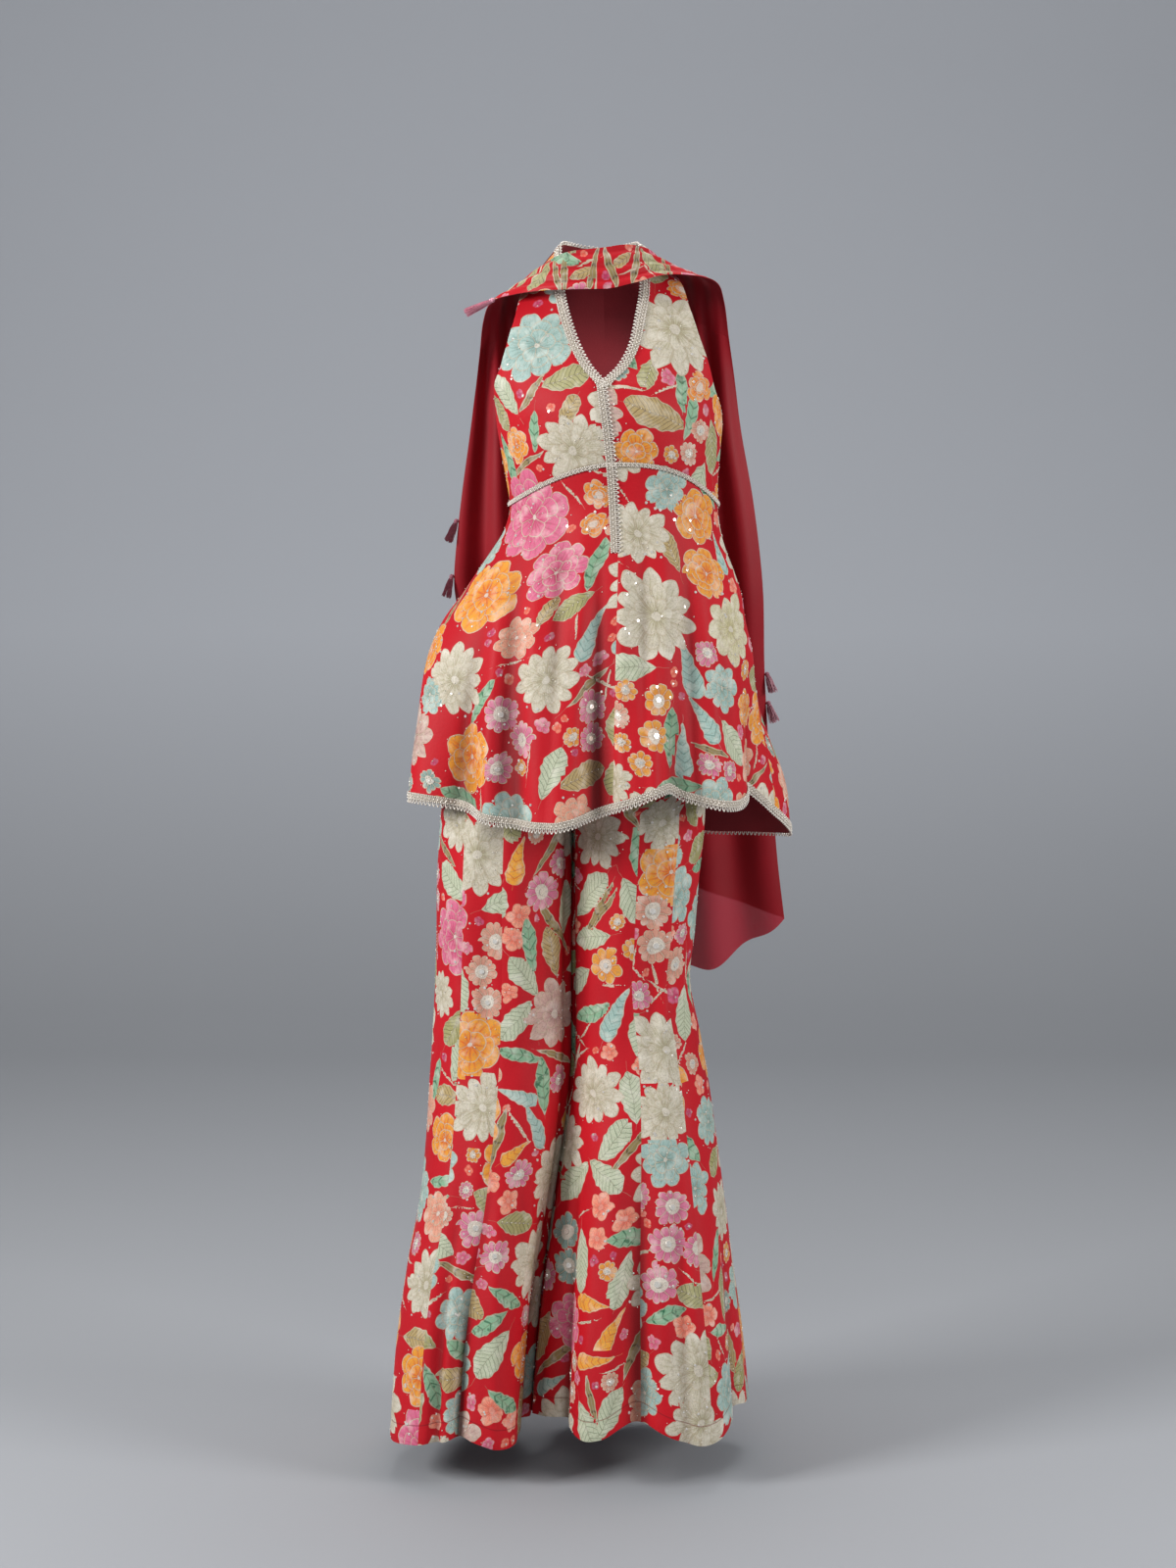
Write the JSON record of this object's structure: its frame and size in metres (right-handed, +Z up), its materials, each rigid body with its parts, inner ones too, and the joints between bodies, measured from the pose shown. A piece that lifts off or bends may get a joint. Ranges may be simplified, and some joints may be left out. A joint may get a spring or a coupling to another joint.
{
  "type": "sharara suit",
  "caption": "Worn sharara suit: flared halter kurti with lace edges, wide panelled trousers, and a dupatta round the neck with tassels, hollow as on a wearer.",
  "frame": {"origin": "centre of the neck opening, where the wearer's neck holds the kurti and the dupatta", "axes": "+Z up along the wearer's neck, front of the garment faces -Y, +X to the viewer's right seen from the front"},
  "size_m": [0.5169, 0.4001, 1.5103],
  "materials": {
    "floral_cloth": "red crepe with a printed and embroidered floral, sequins and silver thread",
    "chiffon": "sheer red chiffon, soft sheen",
    "silver_lace": "silver beaded lace with picots",
    "tassel_silk": "pink silk strands"
  },
  "bodies": {
    "root": {"bodice_front_right": "floral_cloth", "skirt_front_right": "floral_cloth", "bodice_back_right": "floral_cloth", "skirt_back_right": "floral_cloth", "bodice_front_left": "floral_cloth", "skirt_front_left": "floral_cloth", "bodice_back_left": "floral_cloth", "skirt_back_left": "floral_cloth", "lace_neck_right": "silver_lace", "lace_nape_right": "silver_lace", "lace_waist_right": "silver_lace", "lace_hem_right": "silver_lace", "lace_neck_left": "silver_lace", "lace_nape_left": "silver_lace", "lace_waist_left": "silver_lace", "lace_hem_left": "silver_lace", "lace_placket": "silver_lace", "right_leg_front_outer": "floral_cloth", "right_leg_front_middle": "floral_cloth", "right_leg_front_inner": "floral_cloth", "right_leg_back_outer": "floral_cloth", "right_leg_back_middle": "floral_cloth", "right_leg_back_inner": "floral_cloth", "left_leg_front_outer": "floral_cloth", "left_leg_front_middle": "floral_cloth", "left_leg_front_inner": "floral_cloth", "left_leg_back_outer": "floral_cloth", "left_leg_back_middle": "floral_cloth", "left_leg_back_inner": "floral_cloth", "sharara_waistband": "floral_cloth", "dupatta_fall_right": "chiffon", "dupatta_neck": "chiffon", "dupatta_fall_left": "chiffon", "tassel_shoulder": "tassel_silk", "tassel_right_upper": "tassel_silk", "tassel_right_lower": "tassel_silk", "tassel_left_upper": "tassel_silk", "tassel_left_lower": "tassel_silk"}
  },
  "joints": []
}
